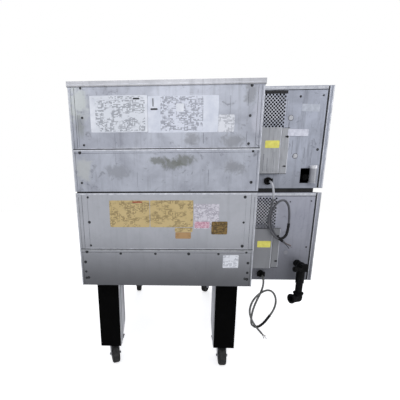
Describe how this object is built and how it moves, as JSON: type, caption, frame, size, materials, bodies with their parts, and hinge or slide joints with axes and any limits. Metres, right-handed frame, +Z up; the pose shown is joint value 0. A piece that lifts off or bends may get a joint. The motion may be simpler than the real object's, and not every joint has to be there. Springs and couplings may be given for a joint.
{
  "type": "pizza oven",
  "caption": "Double-deck gas conveyor pizza oven on casters, with rear motor shroud, side control cabinets, window doors, wire belts and hanging power cords.",
  "frame": {"origin": "on the floor below the middle of the oven, cords left out", "axes": "+X towards the body side away from the control cabinets, +Y towards the rear with the motor shroud, +Z up"},
  "size_m": [1.334, 1.584, 1.655],
  "materials": {
    "motor_paint": "semi gloss",
    "zinc_steel": "zinc plated",
    "lining_steel": "dulled by heat",
    "rubber_tread": "matt",
    "stainless_sheet": "brushed, smudged",
    "dark_sheet": "matt",
    "alloy": "cast",
    "iron_pipe": "dull",
    "black_paint": "satin",
    "black_tape": "satin",
    "grey_cord": "matt",
    "switch_plastic": "gloss",
    "glass_pane": "clear"
  },
  "bodies": {
    "oven": {"blower_motors": "motor_paint", "burners": "lining_steel", "caster_plates": "zinc_steel", "conveyor_frames": "stainless_sheet", "cooking_chambers": "lining_steel", "cooling_fan_motors": "motor_paint", "cord_glands": "dark_sheet", "drive_motors": "motor_paint", "front_panels": "stainless_sheet", "gas_cock": "alloy", "gas_inlet_pipe": "iron_pipe", "gas_trains": "alloy", "jet_fingers": "lining_steel", "legs": "black_paint", "lower_body_shell": "stainless_sheet", "lower_cabinet_back": "stainless_sheet", "lower_cabinet_shell": "stainless_sheet", "lower_cord_end": "black_tape", "lower_power_cord": "grey_cord", "lower_rear_panels": "stainless_sheet", "plug_buttons": "zinc_steel", "screws_and_bolts": "zinc_steel", "shroud_frame": "stainless_sheet", "stacking_spacers": "dark_sheet", "terminal_box_covers": "stainless_sheet", "top_cap": "stainless_sheet", "upper_body_shell": "stainless_sheet", "upper_cabinet_back": "stainless_sheet", "upper_cabinet_shell": "stainless_sheet", "upper_cord_end": "black_tape", "upper_gas_inlet": "alloy", "upper_power_cord": "grey_cord", "upper_rear_panels": "stainless_sheet", "wire_belts": "stainless_sheet"},
    "fork_rear_left": {"caster_fork_rear_left": "zinc_steel"},
    "wheel_rear_left": {"caster_wheel_rear_left": "rubber_tread"},
    "brake_rear_left": {"brake_pedal_rear_left": "zinc_steel"},
    "fork_rear_right": {"caster_fork_rear_right": "zinc_steel"},
    "wheel_rear_right": {"caster_wheel_rear_right": "rubber_tread"},
    "brake_rear_right": {"brake_pedal_rear_right": "zinc_steel"},
    "fork_front_left": {"caster_fork_front_left": "zinc_steel"},
    "wheel_front_left": {"caster_wheel_front_left": "rubber_tread"},
    "fork_front_right": {"caster_fork_front_right": "zinc_steel"},
    "wheel_front_right": {"caster_wheel_front_right": "rubber_tread"},
    "lower_door": {"lower_window_door": "stainless_sheet", "lower_window_glass": "glass_pane"},
    "lower_drive": {"lower_drive_shaft": "stainless_sheet"},
    "lower_idler": {"lower_idler_shaft": "stainless_sheet"},
    "lower_blower": {"lower_blower_wheel": "stainless_sheet"},
    "lower_fan": {"lower_cooling_fan": "dark_sheet"},
    "lower_tray": {"lower_crumb_tray": "stainless_sheet"},
    "lower_switch": {"lower_power_switch": "switch_plastic"},
    "upper_door": {"upper_window_door": "stainless_sheet", "upper_window_glass": "glass_pane"},
    "upper_drive": {"upper_drive_shaft": "stainless_sheet"},
    "upper_idler": {"upper_idler_shaft": "stainless_sheet"},
    "upper_blower": {"upper_blower_wheel": "stainless_sheet"},
    "upper_fan": {"upper_cooling_fan": "dark_sheet"},
    "upper_tray": {"upper_crumb_tray": "stainless_sheet"},
    "upper_switch": {"upper_power_switch": "switch_plastic"}
  },
  "joints": [
    {"name": "swivel_rear_left", "type": "hinge", "parent": "oven", "child": "fork_rear_left", "pos_m": [0.55, 0.585, 0.138], "axis": [0, 0, 1], "continuous": true},
    {"name": "roll_rear_left", "type": "hinge", "parent": "fork_rear_left", "child": "wheel_rear_left", "pos_m": [0.53876, 0.61282, 0.0625], "axis": [0.9272, 0.3746, 0], "continuous": true},
    {"name": "brake_rear_left_press", "type": "hinge", "parent": "fork_rear_left", "child": "brake_rear_left", "pos_m": [0.56274, 0.55348, 0.116], "axis": [0.9272, 0.3746, 0], "range_deg": [0, 25]},
    {"name": "swivel_rear_right", "type": "hinge", "parent": "oven", "child": "fork_rear_right", "pos_m": [-0.174, 0.585, 0.138], "axis": [0, 0, 1], "continuous": true},
    {"name": "roll_rear_right", "type": "hinge", "parent": "fork_rear_right", "child": "wheel_rear_right", "pos_m": [-0.174, 0.615, 0.0625], "axis": [1, 0, 0], "continuous": true},
    {"name": "brake_rear_right_press", "type": "hinge", "parent": "fork_rear_right", "child": "brake_rear_right", "pos_m": [-0.174, 0.551, 0.116], "axis": [1, 0, 0], "range_deg": [0, 25]},
    {"name": "swivel_front_left", "type": "hinge", "parent": "oven", "child": "fork_front_left", "pos_m": [0.55, -0.645, 0.138], "axis": [0, 0, 1], "continuous": true},
    {"name": "roll_front_left", "type": "hinge", "parent": "fork_front_left", "child": "wheel_front_left", "pos_m": [0.55, -0.675, 0.0625], "axis": [-1, 0, 0], "continuous": true},
    {"name": "swivel_front_right", "type": "hinge", "parent": "oven", "child": "fork_front_right", "pos_m": [-0.174, -0.645, 0.138], "axis": [0, 0, 1], "continuous": true},
    {"name": "roll_front_right", "type": "hinge", "parent": "fork_front_right", "child": "wheel_front_right", "pos_m": [-0.189, -0.67098, 0.0625], "axis": [-0.866, 0.5, 0], "continuous": true},
    {"name": "lower_door_open", "type": "hinge", "parent": "oven", "child": "lower_door", "pos_m": [0.188, -0.738, 0.759], "axis": [1, 0, 0], "range_deg": [0, 95]},
    {"name": "lower_drive_turn", "type": "hinge", "parent": "oven", "child": "lower_drive", "pos_m": [-0.627, 0, 0.831], "axis": [0, 1, 0], "continuous": true},
    {"name": "lower_idler_turn", "type": "hinge", "parent": "oven", "child": "lower_idler", "pos_m": [0.623, 0, 0.831], "axis": [0, 1, 0], "continuous": true},
    {"name": "lower_blower_turn", "type": "hinge", "parent": "oven", "child": "lower_blower", "pos_m": [0.188, 0.6, 0.873], "axis": [0, 1, 0], "continuous": true},
    {"name": "lower_fan_turn", "type": "hinge", "parent": "oven", "child": "lower_fan", "pos_m": [-0.36329, 0.644, 1.01203], "axis": [0, 1, 0], "continuous": true},
    {"name": "lower_tray_slide", "type": "slide", "parent": "oven", "child": "lower_tray", "axis": [-1, 0, 0], "range_m": [0, 0.3]},
    {"name": "lower_switch_rock", "type": "hinge", "parent": "oven", "child": "lower_switch", "pos_m": [-0.477, -0.742, 1.07], "axis": [1, 0, 0], "range_deg": [0, 14]},
    {"name": "upper_door_open", "type": "hinge", "parent": "oven", "child": "upper_door", "pos_m": [0.188, -0.738, 1.279], "axis": [1, 0, 0], "range_deg": [0, 95]},
    {"name": "upper_drive_turn", "type": "hinge", "parent": "oven", "child": "upper_drive", "pos_m": [-0.627, 0, 1.351], "axis": [0, 1, 0], "continuous": true},
    {"name": "upper_idler_turn", "type": "hinge", "parent": "oven", "child": "upper_idler", "pos_m": [0.623, 0, 1.351], "axis": [0, 1, 0], "continuous": true},
    {"name": "upper_blower_turn", "type": "hinge", "parent": "oven", "child": "upper_blower", "pos_m": [0.188, 0.6, 1.393], "axis": [0, 1, 0], "continuous": true},
    {"name": "upper_fan_turn", "type": "hinge", "parent": "oven", "child": "upper_fan", "pos_m": [-0.36329, 0.644, 1.54403], "axis": [0, 1, 0], "continuous": true},
    {"name": "upper_tray_slide", "type": "slide", "parent": "oven", "child": "upper_tray", "axis": [-1, 0, 0], "range_m": [0, 0.3]},
    {"name": "upper_switch_rock", "type": "hinge", "parent": "oven", "child": "upper_switch", "pos_m": [-0.477, -0.742, 1.59], "axis": [1, 0, 0], "range_deg": [0, 14]}
  ],
  "couplings": [
    {"joint": "lower_idler_turn", "follows": "lower_drive_turn", "ratio": 1},
    {"joint": "upper_idler_turn", "follows": "upper_drive_turn", "ratio": 1}
  ]
}
